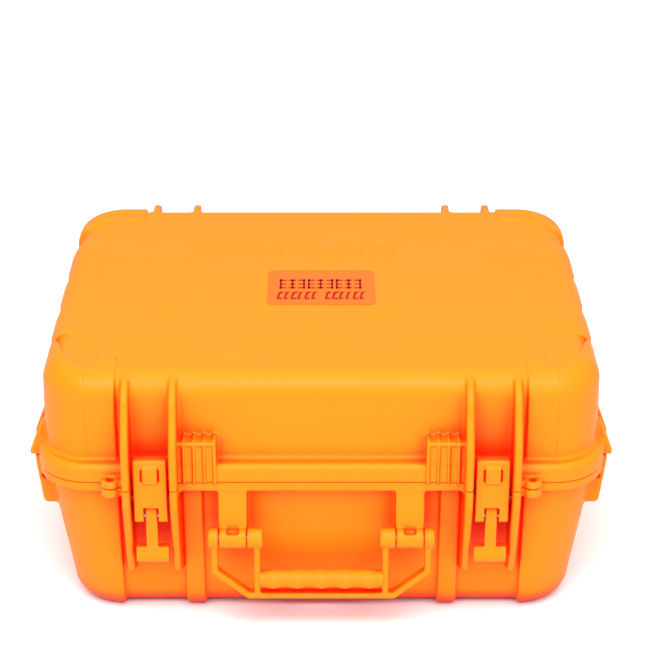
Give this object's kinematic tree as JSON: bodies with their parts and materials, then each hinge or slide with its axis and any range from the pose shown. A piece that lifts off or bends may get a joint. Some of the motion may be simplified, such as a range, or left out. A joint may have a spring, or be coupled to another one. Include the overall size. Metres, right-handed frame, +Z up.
{
  "type": "fiber fusion splicer in hard carrying case",
  "caption": "Orange hard carrying case with hinged lid, two over-centre latches and a front handle, holding a foam-bedded fiber fusion splicer.",
  "frame": {"origin": "middle of the case's footprint, on the plane it rests on", "axes": "+X to the right seen from the handle side, +Y from the handle side to the hinge side, +Z up"},
  "size_m": [0.454, 0.394, 0.212],
  "materials": {
    "case_plastic": "fine-textured moulded copolymer",
    "label": "printed sheet",
    "steel": "satin",
    "seal": "matt",
    "foam": "open-cell foam",
    "splicer_yellow": "satin",
    "splicer_dark": "fine texture",
    "splicer_grey": "satin",
    "bumper_rubber": "matt",
    "screen": "gloss",
    "key_red": "satin",
    "window": "tinted clear",
    "board": "solder mask",
    "brass": "turned"
  },
  "bodies": {
    "case_base": {"base_shell": "case_plastic", "hinge_pin_left": "steel", "hinge_pin_right": "steel", "latch_pivot_pin_left": "steel", "latch_pivot_pin_right": "steel", "handle_pin_left": "steel", "handle_pin_right": "steel", "base_foam": "foam", "splicer_housing": "splicer_yellow", "splicer_floor": "splicer_dark", "splicer_bumpers": "bumper_rubber", "splicer_deck": "splicer_dark", "splicer_screws": "steel", "screen_bezel": "splicer_dark", "screen_glass": "screen", "key_board": "board", "wind_cover_pin": "steel", "v_groove_block": "steel", "electrodes": "brass", "objective_lenses": "splicer_dark", "fiber_clamp_pins": "steel", "heater_tray": "steel", "heater_lid_pin": "steel", "battery_pack": "splicer_dark", "main_board": "board"},
    "lid": {"lid_shell": "case_plastic", "lid_gasket": "seal", "label_plate": "label", "lid_foam": "foam"},
    "lever_left": {"latch_lever_left": "case_plastic"},
    "hook_left": {"latch_hook_left": "case_plastic", "latch_link_pin_left": "steel"},
    "lever_right": {"latch_lever_right": "case_plastic"},
    "hook_right": {"latch_hook_right": "case_plastic", "latch_link_pin_right": "steel"},
    "handle": {"carry_handle": "case_plastic"},
    "wind_cover_flap": {"wind_cover": "splicer_dark", "wind_cover_window": "window"},
    "heater_flap": {"heater_lid": "splicer_grey"},
    "clamp_left": {"fiber_clamp_left": "splicer_grey"},
    "clamp_right": {"fiber_clamp_right": "splicer_grey"},
    "button_power": {"key_power": "key_red"},
    "button_up": {"key_up": "splicer_grey"},
    "button_down": {"key_down": "splicer_grey"},
    "button_set": {"key_set": "splicer_grey"},
    "button_heat": {"key_heat": "splicer_grey"}
  },
  "joints": [
    {"name": "lid_hinge", "type": "hinge", "parent": "case_base", "child": "lid", "pos_m": [0, 0.19, 0.127], "axis": [-1, 0, 0], "range_deg": [0, 100]},
    {"name": "latch_lever_left_swing", "type": "hinge", "parent": "case_base", "child": "lever_left", "pos_m": [-0.13, -0.18, 0.113], "axis": [-1, 0, 0], "range_deg": [0, 105]},
    {"name": "latch_hook_left_swing", "type": "hinge", "parent": "lever_left", "child": "hook_left", "pos_m": [-0.13, -0.184, 0.0995], "axis": [-1, 0, 0], "range_deg": [-121, 0]},
    {"name": "latch_lever_right_swing", "type": "hinge", "parent": "case_base", "child": "lever_right", "pos_m": [0.13, -0.18, 0.113], "axis": [-1, 0, 0], "range_deg": [0, 105]},
    {"name": "latch_hook_right_swing", "type": "hinge", "parent": "lever_right", "child": "hook_right", "pos_m": [0.13, -0.184, 0.0995], "axis": [-1, 0, 0], "range_deg": [-121, 0]},
    {"name": "carry_handle_swing", "type": "hinge", "parent": "case_base", "child": "handle", "pos_m": [0, -0.188, 0.082], "axis": [-1, 0, 0], "range_deg": [0, 95]},
    {"name": "wind_cover_swing", "type": "hinge", "parent": "case_base", "child": "wind_cover_flap", "pos_m": [-0.078, 0.036, 0.1295], "axis": [-1, 0, 0], "range_deg": [0, 85]},
    {"name": "heater_lid_swing", "type": "hinge", "parent": "case_base", "child": "heater_flap", "pos_m": [-0.078, 0.069, 0.129], "axis": [-1, 0, 0], "range_deg": [0, 90]},
    {"name": "fiber_clamp_left_swing", "type": "hinge", "parent": "case_base", "child": "clamp_left", "pos_m": [-0.103, 0.023, 0.13], "axis": [-1, 0, 0], "range_deg": [0, 60]},
    {"name": "fiber_clamp_right_swing", "type": "hinge", "parent": "case_base", "child": "clamp_right", "pos_m": [-0.053, 0.023, 0.13], "axis": [-1, 0, 0], "range_deg": [0, 60]},
    {"name": "key_power_press", "type": "slide", "parent": "case_base", "child": "button_power", "axis": [0, 0, -1], "range_m": [0, 0.001], "stiffness_N_per_m": 400},
    {"name": "key_up_press", "type": "slide", "parent": "case_base", "child": "button_up", "axis": [0, 0, -1], "range_m": [0, 0.001], "stiffness_N_per_m": 400},
    {"name": "key_down_press", "type": "slide", "parent": "case_base", "child": "button_down", "axis": [0, 0, -1], "range_m": [0, 0.001], "stiffness_N_per_m": 400},
    {"name": "key_set_press", "type": "slide", "parent": "case_base", "child": "button_set", "axis": [0, 0, -1], "range_m": [0, 0.001], "stiffness_N_per_m": 400},
    {"name": "key_heat_press", "type": "slide", "parent": "case_base", "child": "button_heat", "axis": [0, 0, -1], "range_m": [0, 0.001], "stiffness_N_per_m": 400}
  ],
  "couplings": [
    {"joint": "latch_hook_left_swing", "follows": "latch_lever_left_swing", "ratio": -1.15},
    {"joint": "latch_hook_right_swing", "follows": "latch_lever_right_swing", "ratio": -1.15}
  ]
}
